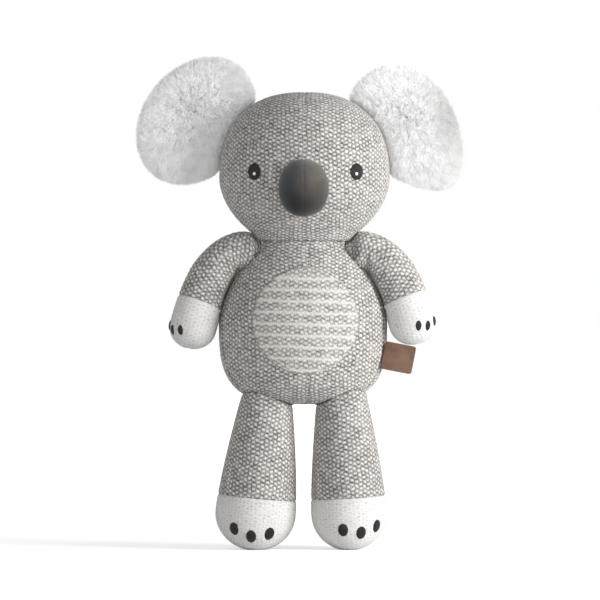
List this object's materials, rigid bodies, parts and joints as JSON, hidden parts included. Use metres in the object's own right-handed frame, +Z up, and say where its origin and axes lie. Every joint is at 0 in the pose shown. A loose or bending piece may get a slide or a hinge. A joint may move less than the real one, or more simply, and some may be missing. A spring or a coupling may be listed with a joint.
{
  "type": "plush koala",
  "caption": "Standing knitted plush koala with big white fur ears, dark velour nose, white paws and feet, striped tummy patch and a bare leather side tag.",
  "frame": {"origin": "on the floor, under the middle of the toy's bounding box", "axes": "+Z up through the head, -Y the way the face looks, +X towards the toy's own left side"},
  "size_m": [0.2368, 0.1292, 0.3555],
  "materials": {
    "grey_knit": "warm light grey seed-stitch knit, matt",
    "striped_knit": "cream and light grey ribbed knit with raised stripes, matt",
    "white_knit": "white seed-stitch knit, matt",
    "white_fur": "short white plush pile",
    "dark_velour": "charcoal velour, soft sheen",
    "light_velour": "warm dark grey velour, soft sheen",
    "dark_thread": "dark grey satin-stitch embroidery",
    "white_thread": "white satin-stitch embroidery",
    "leather": "brown matt leather, bare",
    "stuffing": "white polyester fibre filling"
  },
  "bodies": {
    "torso": {"body_front_right": "grey_knit", "body_front_left": "grey_knit", "body_back": "grey_knit", "body_stuffing": "stuffing", "tummy_patch": "striped_knit"},
    "head": {"head_front_right": "grey_knit", "head_front_left": "grey_knit", "head_back": "grey_knit", "head_stuffing": "stuffing", "nose_right": "dark_velour", "nose_left": "light_velour", "nose_stuffing": "stuffing", "right_eye": "dark_thread", "right_eye_glint": "white_thread", "left_eye": "dark_thread", "left_eye_glint": "white_thread"},
    "right_ear": {"right_ear_fur_face": "white_fur", "right_ear_knit_back": "grey_knit", "right_ear_wadding": "stuffing"},
    "left_ear": {"left_ear_fur_face": "white_fur", "left_ear_knit_back": "grey_knit", "left_ear_wadding": "stuffing"},
    "right_arm": {"right_arm_sleeve": "grey_knit", "right_paw": "white_knit", "right_arm_stuffing": "stuffing", "right_claw_1": "dark_thread", "right_claw_2": "dark_thread", "right_claw_3": "dark_thread"},
    "left_arm": {"left_arm_sleeve": "grey_knit", "left_paw": "white_knit", "left_arm_stuffing": "stuffing", "left_claw_1": "dark_thread", "left_claw_2": "dark_thread", "left_claw_3": "dark_thread"},
    "right_leg": {"right_leg_sleeve": "grey_knit", "right_foot": "white_knit", "right_leg_stuffing": "stuffing", "right_toe_1": "dark_thread", "right_toe_2": "dark_thread", "right_toe_3": "dark_thread"},
    "left_leg": {"left_leg_sleeve": "grey_knit", "left_foot": "white_knit", "left_leg_stuffing": "stuffing", "left_toe_1": "dark_thread", "left_toe_2": "dark_thread", "left_toe_3": "dark_thread"},
    "tag": {"side_tag": "leather"}
  },
  "joints": [
    {"name": "neck_turn", "type": "hinge", "parent": "torso", "child": "head", "pos_m": [0.0035, 0.00859, 0.22198], "axis": [0, 0, 1], "range_deg": [-30, 30], "stiffness_Nm_per_rad": 0.08},
    {"name": "right_ear_bend", "type": "hinge", "parent": "head", "child": "right_ear", "pos_m": [-0.05582, 0.01059, 0.29879], "axis": [-0.3777, 0, -0.9259], "range_deg": [-30, 40], "stiffness_Nm_per_rad": 0.03},
    {"name": "left_ear_bend", "type": "hinge", "parent": "head", "child": "left_ear", "pos_m": [0.06433, 0.01059, 0.29466], "axis": [-0.3086, 0, 0.9512], "range_deg": [-30, 40], "stiffness_Nm_per_rad": 0.03},
    {"name": "right_arm_swing", "type": "hinge", "parent": "torso", "child": "right_arm", "pos_m": [-0.04197, 0.00559, 0.21458], "axis": [-1, 0, 0], "range_deg": [-35, 95]},
    {"name": "left_arm_swing", "type": "hinge", "parent": "torso", "child": "left_arm", "pos_m": [0.04677, 0.00559, 0.21458], "axis": [-1, 0, 0], "range_deg": [-35, 95]},
    {"name": "right_leg_swing", "type": "hinge", "parent": "torso", "child": "right_leg", "pos_m": [-0.0236, -0.01841, 0.11213], "axis": [-0.983, 0.1564, 0.0964], "range_deg": [0, 95]},
    {"name": "left_leg_swing", "type": "hinge", "parent": "torso", "child": "left_leg", "pos_m": [0.0304, -0.01841, 0.11297], "axis": [-0.9857, -0.1564, -0.062], "range_deg": [0, 95]},
    {"name": "tag_flap", "type": "hinge", "parent": "torso", "child": "tag", "pos_m": [0.06162, -0.00441, 0.13958], "axis": [0.1908, 0, 0.9816], "range_deg": [-45, 45], "stiffness_Nm_per_rad": 0.002}
  ]
}
